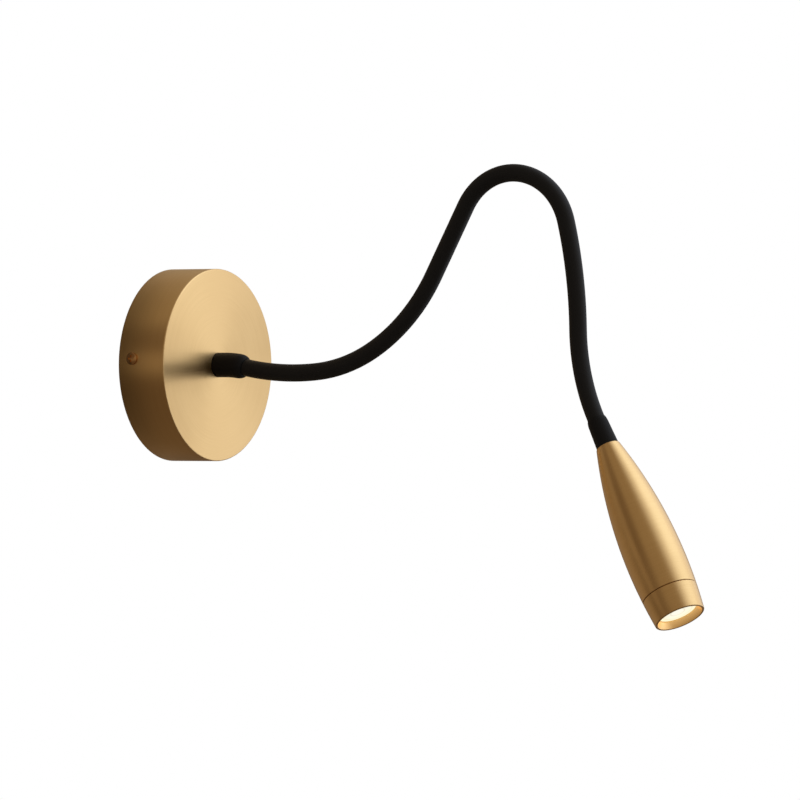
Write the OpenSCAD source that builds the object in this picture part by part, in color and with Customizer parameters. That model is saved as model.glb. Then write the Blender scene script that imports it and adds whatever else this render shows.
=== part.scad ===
// Wall reading lamp: a round brass canopy, a sleeved gooseneck and a slim spotlight head.
// Millimetres. The wall is the plane Y = 0, the lamp stands out along -Y, and Z is up.
// The origin is the middle of the canopy, on the wall.

/* [Canopy] */
// Outside diameter of the canopy
canopy_d = 100; // [96:1:130]
// How far the canopy stands out from the wall
canopy_depth = 28; // [27:1:40]
// Sheet thickness of the canopy
canopy_wall = 1.2; // [1:0.1:2]
// Rounding of the canopy's front edge
canopy_edge_r = 0.8; // [0.3:0.1:1]

/* [Mounting plate] */
// Sheet thickness of the mounting plate
plate_t = 1.5; // [1.2:0.1:2]
// Gap between the plate's edge and the inside of the canopy
plate_gap = 0.9; // [0.4:0.1:1.5]
// Width of the two folded ears
ear_w = 12; // [10:0.5:16]
// Gap between an ear's corners and the inside of the canopy
ear_gap = 0.3; // [0.2:0.1:0.8]
// Turn of the two ears about the middle, which lifts the left side screw
ear_turn = 3.6; // [0:0.2:8]
// Distance between the two wall screw slots
wall_slot_spacing = 60; // [56:1:66]
// Width of a wall screw slot
wall_slot_w = 4.5; // [4:0.1:5.5]
// Length of a wall screw slot, end to end
wall_slot_len = 12; // [8:0.5:13]

/* [Cable entry] */
// Bore of the grommet that the supply cable comes through
grommet_bore_d = 9; // [6:0.5:10]
// Wall of the grommet round the cable
grommet_wall = 2.5; // [2:0.1:3]
// Width of the grommet's flange outside its neck
grommet_flange = 2; // [1.5:0.1:2.5]
// Thickness of the grommet's flange
grommet_flange_t = 1.8; // [1:0.1:2.5]

/* [Side screws] */
// Thread diameter of the side screws
side_screw_d = 4; // [3:0.5:4]
// Head diameter of the side screws
side_screw_head_d = 6.4; // [6:0.1:7.6]
// Height of a side screw's head
side_screw_head_h = 1.5; // [1.2:0.1:2.5]
// Length of a side screw under its head
side_screw_len = 7; // [5:0.5:8]
// Height of the side screws from the wall
side_screw_z = 8.5; // [8:0.5:12]

/* [Driver and terminals] */
// Length of the driver's housing
driver_l = 46; // [40:1:48]
// Width of the driver's housing
driver_w = 24; // [20:1:25]
// Height of the driver's housing with its lid
driver_h = 17; // [15:1:18]
// Wall of the driver's housing
driver_wall = 1.5; // [1:0.1:2]
// Distance from the lamp's middle down to the driver
driver_drop = 15; // [13:0.5:16]
// Width of one pole of the terminal block
pole_pitch = 9; // [8:0.5:10]
// Depth of the terminal block
terminal_w = 17; // [15:0.5:18]
// Height of the terminal block
terminal_h = 13; // [12:0.5:15]
// Distance from the lamp's middle up to the terminal block
terminal_rise = 17; // [16:0.5:19]
// Diameter of the jacketed two-core leads
lead_d = 3.2; // [2.6:0.1:3.6]

/* [Neck] */
// Diameter of the flexible metal core
core_d = 7.2; // [6.6:0.1:7.6]
// Bore of the flexible metal core
core_bore_d = 4.6; // [4.2:0.1:5]
// Wall of the sleeve over the core
sleeve_wall = 0.85; // [0.6:0.05:1.2]
// Lengths of the eight neck sections, from the canopy to the head
neck_len = [44, 37, 54, 40, 36, 42, 55, 48];
// Bends of the eight neck sections in degrees, up is positive
neck_bend = [16, 25, 31, 0, -64, -73, -13, 30];
// Sideways roll of each section's bend in degrees
neck_roll = [0, 0, 0, 0, 0, 0, 0, -14];
// Largest turn of one neck station, which its bevelled core ends leave room for
station_turn = 35; // [20:1:36]

/* [Root fitting] */
// Diameter of the collar at the canopy
root_collar_d = 12.8; // [12.4:0.1:15]
// Straight length of the collar, over the nipple
root_straight = 5; // [4:0.5:8]
// Length of the collar's drooping part
root_bend_len = 11; // [8:0.5:18]
// Droop of the collar in degrees
root_droop = 11; // [4:1:16]
// Length of the collar's tapered mouth
root_mouth = 1.5; // [1.5:0.5:4]
// Diameter of the threaded nipple through the canopy
nipple_d = 10; // [9.4:0.1:11]
// Length of the nipple inside the canopy
nipple_inside = 8; // [7.6:0.1:9]

/* [Head] */
// Length of the head from its neck end to its rim
head_len = 99; // [94:1:108]
// Diameter of the head at its neck end
head_neck_d = 12.4; // [12:0.1:14]
// Largest diameter of the head
head_max_d = 30; // [29:0.5:33]
// Distance from the neck end to the widest place
head_widest = 67; // [64:1:72]
// Wall of the head's shell
head_wall = 1.3; // [1:0.1:1.5]
// Length of the screwed bezel
bezel_len = 14; // [13:0.1:16]
// Width of the seam between the shell and the bezel
seam_gap = 0.3; // [0.2:0.05:0.5]
// Diameter of the thread between the shell and the bezel
bezel_thread_d = 25.8; // [25.4:0.1:26]
// Width of the bezel's flat front edge
rim_land = 1.2; // [0.6:0.1:1.6]
// Depth of the lens under the rim
lens_depth = 3; // [2.5:0.1:5]
// Diameter of the lens where it shows
lens_d = 20.6; // [19:0.2:21]
// Diameter of the collar where it meets the head
head_collar_d = 11.6; // [11.4:0.1:12.4]
// Diameter of the head collar's mouth
head_mouth_d = 10.4; // [10.2:0.1:11.4]
// Length of the collar at the head
head_collar_len = 16; // [12:0.5:18]

/* [Hidden] */
NECK_COUNT = 8;

round_fn = 96;
small_fn = 48;
arc_fn = 720;
eps = 0.01;
fit = 0.05;
slide_fit = 0.1;

brass = [0.80, 0.62, 0.36];
bronze = [0.55, 0.42, 0.26];
black = [0.07, 0.07, 0.07];
zinc = [0.72, 0.73, 0.75];
steel = [0.60, 0.61, 0.63];
white = [0.90, 0.90, 0.88];
green = [0.16, 0.40, 0.24];
phosphor = [0.95, 0.85, 0.35];
clear = [1, 0.95, 0.85, 0.6];

cover_r = canopy_d / 2;
cover_in_r = cover_r - canopy_wall;
face_back = canopy_depth - canopy_wall;
plate_r = cover_in_r - plate_gap;
ear_out = sqrt(pow(cover_in_r, 2) - pow(ear_w / 2, 2)) - ear_gap;
screw_hole_d = side_screw_d + 2 * slide_fit;
driver_screw_d = 3;
driver_screw_inset = 4;
sleeve_in_r = core_d / 2 + fit;
sleeve_r = sleeve_in_r + sleeve_wall;
collar_fit_r = sleeve_r + slide_fit;

// A straight round hole through a wall of the given thickness, standing on z = 0.
module bore(d, depth) {
    translate([0, 0, -eps]) cylinder(d = d, h = depth + 2 * eps, $fn = small_fn);
}

// The place and direction of each neck station, as a chain of tangent arcs.
// In a station's own axes the neck leaves along +Z and bends towards +Y.
function shift(v) = [[1, 0, 0, v.x], [0, 1, 0, v.y], [0, 0, 1, v.z], [0, 0, 0, 1]];
function turn_x(a) = [[1, 0, 0, 0], [0, cos(a), -sin(a), 0], [0, sin(a), cos(a), 0], [0, 0, 0, 1]];
function turn_z(a) = [[cos(a), -sin(a), 0, 0], [sin(a), cos(a), 0, 0], [0, 0, 1, 0], [0, 0, 0, 1]];
function arc_radius(length, bend) = length * 180 / (PI * bend);
function arc_end(length, bend) =
    bend == 0 ? shift([0, 0, length])
              : shift(arc_radius(length, bend) * [0, 1 - cos(bend), sin(bend)]) * turn_x(-bend);
function section_end(length, bend, roll) = turn_z(-roll) * arc_end(length, bend) * turn_z(roll);
wall_frame = turn_x(90);
root_frame = wall_frame * shift([0, 0, canopy_depth + root_straight]);
mouth_frame = root_frame * arc_end(root_bend_len, -root_droop);
function station(k) =
    k == 1 ? mouth_frame * shift([0, 0, root_mouth])
           : station(k - 1) * section_end(neck_len[k - 2], neck_bend[k - 2], neck_roll[k - 2]);
neck_end_frame = station(NECK_COUNT + 1);
head_frame = neck_end_frame * shift([0, 0, head_collar_len]);

// Sweeps a flat outline along one arc of the neck, with a straight tail if one is asked for.
module arc_sweep(length, bend, roll = 0, tail = 0) {
    radius = arc_radius(length, max(abs(bend), eps));
    rotate([0, 0, (bend < 0 ? 180 : 0) - roll]) {
        if (bend == 0)
            linear_extrude(length) children();
        else
            multmatrix([[0, 0, -1, 0], [-1, 0, 0, radius], [0, 1, 0, 0], [0, 0, 0, 1]])
                rotate_extrude(angle = abs(bend), $fn = arc_fn)
                    translate([radius, 0]) children();
        if (tail > 0)
            multmatrix(arc_end(length, abs(bend))) linear_extrude(tail) children();
    }
}

module tube_outline(r, bore_r) {
    difference() {
        circle(r, $fn = small_fn);
        circle(bore_r, $fn = small_fn);
    }
}

// A bevelled end, so that one section can turn against the next about either cross axis.
// The ridge lies on the hinge's own axis, and the slopes take half the turn each.
station_gap = 0.3;
module end_relief(across_y) {
    reach = core_d;
    slope = reach * tan(station_turn / 2 + 1);
    rotate([0, 0, across_y ? 90 : 0]) rotate([90, 0, 90])
        translate([0, 0, -reach]) linear_extrude(2 * reach)
            polygon([[-reach, slope + station_gap / 2], [0, station_gap / 2],
                     [reach, slope + station_gap / 2], [reach, -reach], [-reach, -reach]]);
}

// Odd stations turn sideways and even ones turn up and down.
function turns_sideways(k) = k % 2 == 1;

// The two side screw axes, at the same height on both sides of the ears.
module side_screw_places(distance = 0) {
    for (side = [0, 180]) rotate([0, 0, side - ear_turn])
        translate([distance, 0, side_screw_z]) rotate([0, 90, 0]) children();
}

// The canopy is a spun cup, open to the wall, with one hole in its face and two in its rim.
module canopy_cover() color(brass) multmatrix(wall_frame) difference() {
    rotate_extrude($fn = round_fn) difference() {
        union() {
            square([cover_r - canopy_edge_r, canopy_depth]);
            square([cover_r, canopy_depth - canopy_edge_r]);
            translate([cover_r - canopy_edge_r, canopy_depth - canopy_edge_r])
                circle(canopy_edge_r, $fn = small_fn);
        }
        square([cover_in_r, face_back]);
    }
    translate([0, 0, face_back]) bore(nipple_d + 2 * slide_fit, canopy_wall);
    side_screw_places(cover_in_r - canopy_wall) bore(screw_hole_d, 3 * canopy_wall);
}

module slot(length, width, depth) {
    straight = length - width;
    translate([-straight / 2, -width / 2, 0]) cube([straight, width, depth]);
    for (end = [-1, 1]) translate([end * straight / 2, 0, 0])
        cylinder(d = width, h = depth, $fn = small_fn);
}

grommet_neck_r = grommet_bore_d / 2 + grommet_wall;
driver_screw_x = driver_l / 2 - driver_screw_inset;
driver_mid_y = -driver_drop - driver_w / 2;
terminal_mid_y = terminal_rise + terminal_w / 2;
earth_x = -26;
earth_screw_d = 4;

// The plate is a flat disc with two ears folded up for the side screws.
module mounting_plate() color(zinc) multmatrix(wall_frame) difference() {
    union() {
        cylinder(r = plate_r, h = plate_t, $fn = round_fn);
        for (side = [0, 180]) rotate([0, 0, side - ear_turn])
            translate([ear_out - plate_t, -ear_w / 2, 0]) cube([plate_t, ear_w, side_screw_z]);
        side_screw_places(ear_out - plate_t) cylinder(d = ear_w, h = plate_t, $fn = small_fn);
    }
    translate([0, 0, -ear_w]) cylinder(r = cover_r, h = ear_w, $fn = round_fn);
    bore(2 * (grommet_neck_r + fit), plate_t);
    for (side = [-1, 1]) {
        translate([side * wall_slot_spacing / 2, 0, -eps])
            slot(wall_slot_len, wall_slot_w, plate_t + 2 * eps);
        translate([side * driver_screw_x, driver_mid_y, 0]) bore(driver_screw_d + 2 * fit, plate_t);
        translate([side * pole_pitch, terminal_mid_y, 0]) bore(driver_screw_d + 2 * fit, plate_t);
    }
    translate([earth_x, terminal_rise, 0]) bore(earth_screw_d + 2 * fit, plate_t);
    side_screw_places(ear_out - 2 * plate_t) bore(side_screw_d + 2 * fit, 3 * plate_t);
}

// The grommet is a rubber bush, flush with the wall and flanged over the plate.
module cable_grommet() color(black) multmatrix(wall_frame) rotate_extrude($fn = small_fn) {
    translate([grommet_bore_d / 2, 0]) square([grommet_wall, plate_t + grommet_flange_t]);
    translate([grommet_bore_d / 2, plate_t]) square([grommet_wall + grommet_flange, grommet_flange_t]);
}

// A pan head with a cross recess, standing on the plane z = 0 with its shank below.
dome_share = 0.5;
recess_share = 0.56;
recess_w_share = 0.14;
module pan_screw(d, head_d, head_h, length) {
    dome_h = head_h * dome_share;
    dome_r = (pow(head_d / 2, 2) + pow(dome_h, 2)) / (2 * dome_h);
    difference() {
        rotate_extrude($fn = small_fn) {
            square([head_d / 2, head_h - dome_h]);
            intersection() {
                translate([0, head_h - dome_r]) circle(dome_r, $fn = round_fn);
                translate([0, head_h - dome_h]) square([head_d / 2, head_h]);
            }
        }
        for (a = [0, 90]) rotate([0, 0, a])
            translate([-head_d * recess_share / 2, -head_d * recess_w_share / 2, head_h / 3])
                cube([head_d * recess_share, head_d * recess_w_share, head_h]);
    }
    translate([0, 0, -length]) cylinder(d = d, h = length + eps, $fn = small_fn);
}

module side_screws() color(bronze) multmatrix(wall_frame) side_screw_places(cover_r)
    pan_screw(side_screw_d, side_screw_head_d, side_screw_head_h, side_screw_len);

// The nipple is a threaded tube through the canopy's face, and the neck's first coil ends in it.
nipple_bore_d = lead_d + 1.2;
nipple_back = face_back - nipple_inside;
nipple_len = nipple_inside + canopy_wall + root_straight;
module root_nipple() color(zinc) multmatrix(wall_frame) translate([0, 0, nipple_back]) difference() {
    cylinder(d = nipple_d, h = nipple_len, $fn = small_fn);
    bore(nipple_bore_d, nipple_len);
}

washer_t = 0.8;
washer_rim = 3;
washer_r = nipple_d / 2 + washer_rim;
tooth_gap = 1;
tooth_len = 1.2;
tooth_step = 30;
module toothed_washer() color(steel) multmatrix(wall_frame)
    translate([0, 0, face_back - washer_t]) difference() {
        cylinder(r = washer_r, h = washer_t, $fn = small_fn);
        bore(nipple_d + 2 * slide_fit, washer_t);
        for (a = [0:tooth_step:360 - tooth_step]) rotate([0, 0, a])
            translate([washer_r - tooth_len, -tooth_gap / 2, -eps])
                cube([2 * tooth_len, tooth_gap, washer_t + 2 * eps]);
    }

nut_t = 3;
nut_rim = 2;
nut_across = nipple_d + 2 * nut_rim;
module lock_nut() color(zinc) multmatrix(wall_frame)
    translate([0, 0, face_back - washer_t - nut_t]) difference() {
        cylinder(d = nut_across / cos(30), h = nut_t, $fn = 6);
        bore(nipple_d + 2 * fit, nut_t);
    }

// The driver stands on the plate below the middle: an open box, its lid, its board and two screws.
lid_t = 2;
lid_lip = 1.5;
lid_lip_wall = 1.1;
driver_lead_z = plate_t + driver_h * 0.55;
module driver_box_frame() multmatrix(wall_frame) translate([0, driver_mid_y, plate_t]) children();

// A block of the housing's own outline, drawn in all round by an inset.
module driver_block(inset, height) {
    translate([inset - driver_l / 2, inset - driver_w / 2, 0])
        cube([driver_l - 2 * inset, driver_w - 2 * inset, height]);
}

module driver_housing() color(white) driver_box_frame() difference() {
    driver_block(0, driver_h - lid_t);
    translate([0, 0, driver_wall]) driver_block(driver_wall, driver_h);
    for (side = [-1, 1]) {
        translate([side * driver_screw_x, 0, 0]) bore(driver_screw_d + 2 * fit, driver_wall);
        translate([side * driver_l / 2 - driver_wall, 0, driver_lead_z - plate_t]) rotate([0, 90, 0])
            bore(lead_d + 2 * slide_fit, 2 * driver_wall);
    }
}

module driver_lid() color(white) driver_box_frame() translate([0, 0, driver_h - lid_t]) {
    driver_block(0, lid_t);
    translate([0, 0, -lid_lip]) difference() {
        driver_block(driver_wall + slide_fit, lid_lip + eps);
        translate([0, 0, -eps]) driver_block(driver_wall + slide_fit + lid_lip_wall, lid_lip + eps);
    }
}

// The board stands on four feet and carries a coil and two capacitors.
board_rise = 2.8;
board_t = 1.2;
board_gap = 0.5;
board_foot = 2;
coil_l = 11;
coil_x = -5;
part_edge = 1.5;
large_capacitor = [7, 11, 0];
small_capacitor = [5, -12, 2.5];
board_z = driver_wall + board_rise;
board_top = board_z + board_t;
board_l = driver_l - 2 * (driver_wall + board_gap);
board_w = driver_w - 2 * (driver_wall + board_gap);
foot_x = board_l / 2 - board_foot;
foot_y = board_w / 2 - board_foot;
tall_part_h = driver_h - lid_t - lid_lip - board_top - 1;
module driver_board() color(green) driver_box_frame() {
    translate([-board_l / 2, -board_w / 2, board_z]) cube([board_l, board_w, board_t]);
    for (x = [-1, 1], y = [-1, 1]) translate([x * foot_x, y * foot_y, board_z - board_rise / 2])
        cube([board_foot, board_foot, board_rise + eps], center = true);
    translate([coil_x, part_edge - board_w / 2, board_top - eps])
        cube([coil_l, board_w - 2 * part_edge, tall_part_h]);
    translate([large_capacitor[1], large_capacitor[2], board_top - eps])
        cylinder(d = large_capacitor[0], h = tall_part_h, $fn = small_fn);
    translate([small_capacitor[1], small_capacitor[2], board_top - eps])
        cylinder(d = small_capacitor[0], h = tall_part_h * 0.8, $fn = small_fn);
}

driver_screw_head_d = 5.1;
driver_screw_head_h = 1.6;
module driver_screws() color(zinc) driver_box_frame()
    for (side = [-1, 1]) translate([side * driver_screw_x, 0, 0]) {
        translate([0, 0, driver_wall])
            cylinder(d = driver_screw_head_d, h = driver_screw_head_h, $fn = small_fn);
        translate([0, 0, -plate_t])
            cylinder(d = driver_screw_d, h = plate_t + driver_wall + eps, $fn = small_fn);
    }

// The terminal block has three poles, each with a wire way through it and a clamping screw from above.
pole_count = 3;
terminal_l = pole_pitch * pole_count;
tower_h = 4;
tower_gap = 1;
wire_way_d = 4;
wire_way_z = 5;
clamp_screw_d = 3.5;
clamp_top_gap = 0.5;
clamp_slot_w = 0.8;
clamp_slot_depth = 1.3;
block_screw_depth = 2;
module terminal_frame() multmatrix(wall_frame) translate([0, terminal_rise, plate_t]) children();
module pole_places() {
    for (i = [0:pole_count - 1])
        translate([(i - (pole_count - 1) / 2) * pole_pitch, terminal_w / 2, 0]) children();
}
module block_screw_places() {
    for (side = [-1, 1]) translate([side * pole_pitch, terminal_w / 2, 0]) children();
}

module terminal_block() color(white) terminal_frame() difference() {
    union() {
        translate([-terminal_l / 2, 0, 0]) cube([terminal_l, terminal_w, terminal_h - tower_h]);
        pole_places() cylinder(d = pole_pitch - tower_gap, h = terminal_h, $fn = small_fn);
    }
    pole_places() {
        translate([0, -terminal_w / 2, wire_way_z]) rotate([-90, 0, 0]) bore(wire_way_d, terminal_w);
        translate([0, 0, wire_way_z]) cylinder(d = clamp_screw_d + 2 * fit, h = terminal_h, $fn = small_fn);
    }
    block_screw_places() bore(driver_screw_d + 2 * fit, block_screw_depth);
}

module terminal_screws() color(brass) terminal_frame() {
    clamp_z = wire_way_z + wire_way_d / 2 - clamp_top_gap;
    clamp_h = terminal_h - clamp_top_gap - clamp_z - clamp_top_gap;
    pole_places() translate([0, 0, clamp_z]) difference() {
        cylinder(d = clamp_screw_d, h = clamp_h, $fn = small_fn);
        translate([-clamp_screw_d, -clamp_slot_w / 2, clamp_h - clamp_slot_depth])
            cube([2 * clamp_screw_d, clamp_slot_w, 2 * clamp_slot_depth]);
    }
    block_screw_places() translate([0, 0, -plate_t])
        cylinder(d = driver_screw_d, h = plate_t + block_screw_depth - slide_fit, $fn = small_fn);
}

// The earth screw clamps the earth wire's ring to the plate.
earth_ring_d = 9;
earth_ring_t = 0.8;
earth_head_d = 7;
earth_head_h = 2.2;
module earth_screw() color(brass) multmatrix(wall_frame) translate([earth_x, terminal_rise, plate_t]) {
    difference() {
        cylinder(d = earth_ring_d, h = earth_ring_t, $fn = small_fn);
        bore(earth_screw_d * 0.9, earth_ring_t);
    }
    translate([0, 0, earth_ring_t])
        pan_screw(earth_screw_d, earth_head_d, earth_head_h, plate_t + earth_ring_t);
}

// The leads inside the canopy are round cables swept along their own points.
lead_steps = 3;
lead_sides = 8;
function route_tangent(p, i) =
    let (a = p[max(i - 1, 0)], b = p[min(i + 1, len(p) - 1)]) (b - a) / norm(b - a);
function between(a, b, c, d, t) =
    0.5 * (2 * b + (c - a) * t + (2 * a - 5 * b + 4 * c - d) * t * t + (3 * b - a - 3 * c + d) * t * t * t);
function smooth_route(p) = [
    for (i = [0:len(p) - 2], s = [0:lead_steps - 1])
        between(p[max(i - 1, 0)], p[i], p[i + 1], p[min(i + 2, len(p) - 1)], s / lead_steps),
    p[len(p) - 1]];
function across(t, up) = let (v = up - (up * t) * t) v / norm(v);
module swept_lead(points, up) {
    route = smooth_route(points);
    last = len(route) - 1;
    turn = 360 / lead_sides;
    rings = [for (i = [0:last])
        let (t = route_tangent(route, i), u = across(t, up), v = cross(t, u))
            for (s = [0:lead_sides - 1]) route[i] + lead_d / 2 * (cos(s * turn) * u + sin(s * turn) * v)];
    polyhedron(rings, concat(
        [[for (s = [0:lead_sides - 1]) s]],
        [for (i = [0:last - 1], s = [0:lead_sides - 1]) let (n = (s + 1) % lead_sides, j = i + 1)
            [i * lead_sides + s, j * lead_sides + s, j * lead_sides + n, i * lead_sides + n]],
        [[for (s = [lead_sides - 1:-1:0]) last * lead_sides + s]]));
}

input_route = [
    [-pole_pitch, terminal_rise + terminal_w - 4, plate_t + wire_way_z],
    [-pole_pitch, terminal_rise + terminal_w + 1, plate_t + wire_way_z],
    [-pole_pitch - 4, terminal_rise + terminal_w + 4, 8],
    [-22, 32, 9],
    [-32, 22, 10],
    [-37, 8, 10.5],
    [-37, -8, driver_lead_z],
    [-33, driver_mid_y + 5, driver_lead_z],
    [-driver_l / 2 - 4, driver_mid_y, driver_lead_z],
    [-driver_l / 2 + driver_wall, driver_mid_y, driver_lead_z]];
output_route = [
    [driver_l / 2 - driver_wall, driver_mid_y, driver_lead_z],
    [driver_l / 2 + 4, driver_mid_y, driver_lead_z],
    [33, driver_mid_y + 6, driver_lead_z],
    [33, -12, 10.5],
    [25, -3, 10],
    [15, 0, 9.5],
    [8, 0, 10],
    [3, 0, 12.5],
    [0.5, 0, 16],
    [0, 0, nipple_back + 1],
    [0, 0, canopy_depth + root_straight]];
module input_lead() color(black) multmatrix(wall_frame) swept_lead(input_route, [0.1, 0.2, 1]);
module output_lead() color(black) multmatrix(wall_frame) swept_lead(output_route, [1, -1, 1.4]);

// The collar hides the nipple and the neck's first coils, and its mouth tapers down to the sleeve.
mouth_step = 0.8;
mouth_round = 0.3;
module root_collar() color(black) {
    multmatrix(wall_frame) translate([0, 0, canopy_depth]) linear_extrude(root_straight)
        tube_outline(root_collar_d / 2, nipple_d / 2 + slide_fit);
    multmatrix(root_frame) arc_sweep(root_bend_len, -root_droop)
        tube_outline(root_collar_d / 2, collar_fit_r);
    multmatrix(mouth_frame) rotate_extrude($fn = small_fn)
        polygon([[collar_fit_r, 0], [root_collar_d / 2, 0],
                 [sleeve_r + mouth_step, root_mouth - mouth_round],
                 [sleeve_r + mouth_step - mouth_round, root_mouth], [collar_fit_r, root_mouth]]);
}

module neck_root() {
    multmatrix(root_frame) arc_sweep(root_bend_len, -root_droop, tail = root_mouth) children();
}

module neck_core_0() color(steel) difference() {
    neck_root() tube_outline(core_d / 2, core_bore_d / 2);
    multmatrix(station(1)) mirror([0, 0, 1]) end_relief(turns_sideways(1));
}

module neck_sleeve_0() color(black) neck_root() tube_outline(sleeve_r, sleeve_in_r);

module neck_lead_0() color(white) neck_root() circle(d = lead_d, $fn = small_fn);

// One section of the flexible core, with a bevelled end wherever a station lies.
// The last section runs on straight inside the head's collar, up to the ferrule.
module neck_section(k) {
    multmatrix(station(k)) arc_sweep(neck_len[k - 1], neck_bend[k - 1], neck_roll[k - 1],
        tail = k == NECK_COUNT ? head_collar_len - ferrule_outside : 0) children();
}

module neck_core(k) color(steel) difference() {
    neck_section(k) tube_outline(core_d / 2, core_bore_d / 2);
    multmatrix(station(k)) end_relief(turns_sideways(k));
    if (k < NECK_COUNT) multmatrix(station(k + 1)) mirror([0, 0, 1]) end_relief(turns_sideways(k + 1));
}

module neck_sleeve(k) color(black) neck_section(k) tube_outline(sleeve_r, sleeve_in_r);

module neck_lead(k) color(white) neck_section(k) circle(d = lead_d, $fn = small_fn);

// The head's outline is one long arc, from its narrow neck end past its widest place to the rim.
ferrule_outside = 6;
ferrule_wall = 0.6;
ferrule_r = core_d / 2 + ferrule_wall;
boss_len = 12;
thread_len = 7;
head_r = head_max_d / 2;
head_rise = head_r - head_neck_d / 2;
head_arc_r = (pow(head_widest, 2) + pow(head_rise, 2)) / (2 * head_rise);
seam = head_len - bezel_len;
thread_r = bezel_thread_d / 2;
thread_start = seam - thread_len;
lens_front = head_len - lens_depth;
module head_outline(from, to, inset = 0) intersection() {
    translate([head_r - head_arc_r, head_widest]) circle(head_arc_r - inset, $fn = arc_fn);
    translate([0, from]) square([head_max_d, to - from]);
}

// The head's collar is slightly tapered, and slips over the neck's end and its ferrule.
head_mouth_len = 0.6;
module head_collar() color(black) multmatrix(neck_end_frame) rotate_extrude($fn = small_fn)
    polygon([[collar_fit_r, 0], [head_mouth_d / 2 - mouth_round, 0], [head_mouth_d / 2, head_mouth_len],
             [head_collar_d / 2, head_collar_len], [collar_fit_r, head_collar_len]]);

inner_nut_t = 3;
inner_nut_rim = 1.6;
ferrule_len = ferrule_outside + boss_len + inner_nut_t;
module head_ferrule() color(zinc) multmatrix(head_frame) translate([0, 0, -ferrule_outside]) difference() {
    cylinder(r = ferrule_r, h = ferrule_len, $fn = small_fn);
    bore(nipple_bore_d, ferrule_len);
}

module head_nut() color(zinc) multmatrix(head_frame) translate([0, 0, boss_len]) difference() {
    cylinder(r = (ferrule_r + inner_nut_rim) / cos(30), h = inner_nut_t, $fn = 6);
    bore(2 * (ferrule_r + fit), inner_nut_t);
}

module head_shell() color(brass) multmatrix(head_frame) rotate_extrude($fn = round_fn) difference() {
    head_outline(0, seam);
    head_outline(boss_len, thread_start, head_wall);
    translate([0, -eps]) square([ferrule_r + fit, boss_len + 2 * eps]);
    translate([0, thread_start - eps]) square([thread_r, seam]);
}

// The bezel screws into the shell and holds the lens behind its lip.
// From the lens it flares out to a flat front edge.
lens_r = lens_d / 2;
lens_seat = 0.9;
lens_seat_r = lens_r + lens_seat;
lip_t = 1;
spigot_len = 5.5;
spigot_back = seam - spigot_len;
rim_r = head_r - pow(head_len - head_widest, 2) / (2 * head_arc_r);
module bezel_ring() color(brass) multmatrix(head_frame) rotate_extrude($fn = round_fn) difference() {
    union() {
        head_outline(seam + seam_gap, head_len);
        translate([0, spigot_back]) square([thread_r - fit, spigot_len + seam_gap + eps]);
    }
    translate([0, spigot_back - eps]) square([lens_seat_r, lens_front - lip_t - spigot_back + eps]);
    translate([0, spigot_back]) square([lens_r, lens_front - spigot_back + eps]);
    polygon([[0, lens_front], [lens_r, lens_front], [rim_r - rim_land, head_len + eps],
             [0, head_len + eps]]);
}

// The heat sink is a grooved slug whose front flange sits in the shell's thread bore.
sink_front_gap = 0.3;
sink_side_gap = 0.15;
sink_front = spigot_back - sink_front_gap;
sink_len = 22;
sink_flange_t = 3;
sink_r = thread_r - sink_side_gap;
groove_count = 12;
groove_w = 1.8;
groove_depth = 3.5;
module heat_sink() color(zinc) multmatrix(head_frame)
    translate([0, 0, sink_front - sink_len]) difference() {
        cylinder(r = sink_r, h = sink_len, $fn = round_fn);
        bore(lead_d + 2 * slide_fit, sink_len);
        for (i = [0:groove_count - 1]) rotate([0, 0, i * 360 / groove_count])
            translate([sink_r - groove_depth, -groove_w / 2, -eps])
                cube([2 * groove_depth, groove_w, sink_len - sink_flange_t]);
    }

led_board_t = 1.2;
led_board_gap = 0.4;
led_board_r = lens_seat_r - led_board_gap;
chip_w = 5;
chip_t = 0.9;
module led_board() color(white) multmatrix(head_frame) translate([0, 0, sink_front]) difference() {
    cylinder(r = led_board_r, h = led_board_t, $fn = small_fn);
    translate([0, 0, -led_board_t / 2]) bore(lead_d + 2 * slide_fit, led_board_t);
}

// The light chip is a square carrier with a round phosphor spot on it.
module led_chip() color(phosphor) multmatrix(head_frame) translate([0, 0, sink_front + led_board_t]) {
    translate([-chip_w / 2, -chip_w / 2, 0]) cube([chip_w, chip_w, chip_t * 0.6]);
    cylinder(d = chip_w * 0.7, h = chip_t, $fn = small_fn);
}

// The lens is a solid cone that gathers the light, with a thin flange behind the bezel's lip.
// A well in its back takes in the light of the chip.
holder_back = sink_front + led_board_t;
chip_gap = 0.6;
flange_t = 1.4;
lens_taper = 1.2;
lens_front_gap = 0.2;
well_depth = 3;
lens_back = holder_back + chip_t + chip_gap;
lens_back_r = chip_w * 0.85;
lens_cone_r = lens_r - lens_taper;
flange_back = lens_front - lip_t - flange_t;
module lens() color(clear) multmatrix(head_frame) rotate_extrude($fn = round_fn) difference() {
    union() {
        translate([0, flange_back]) square([lens_seat_r - slide_fit, flange_t]);
        polygon([[0, lens_back], [lens_back_r, lens_back], [lens_cone_r, flange_back + eps],
                 [0, flange_back + eps]]);
        translate([0, lens_front - lip_t - eps])
            square([lens_r - slide_fit, lip_t - lens_front_gap + eps]);
    }
    translate([0, lens_back - eps]) square([chip_w * 0.45, well_depth]);
}

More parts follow.
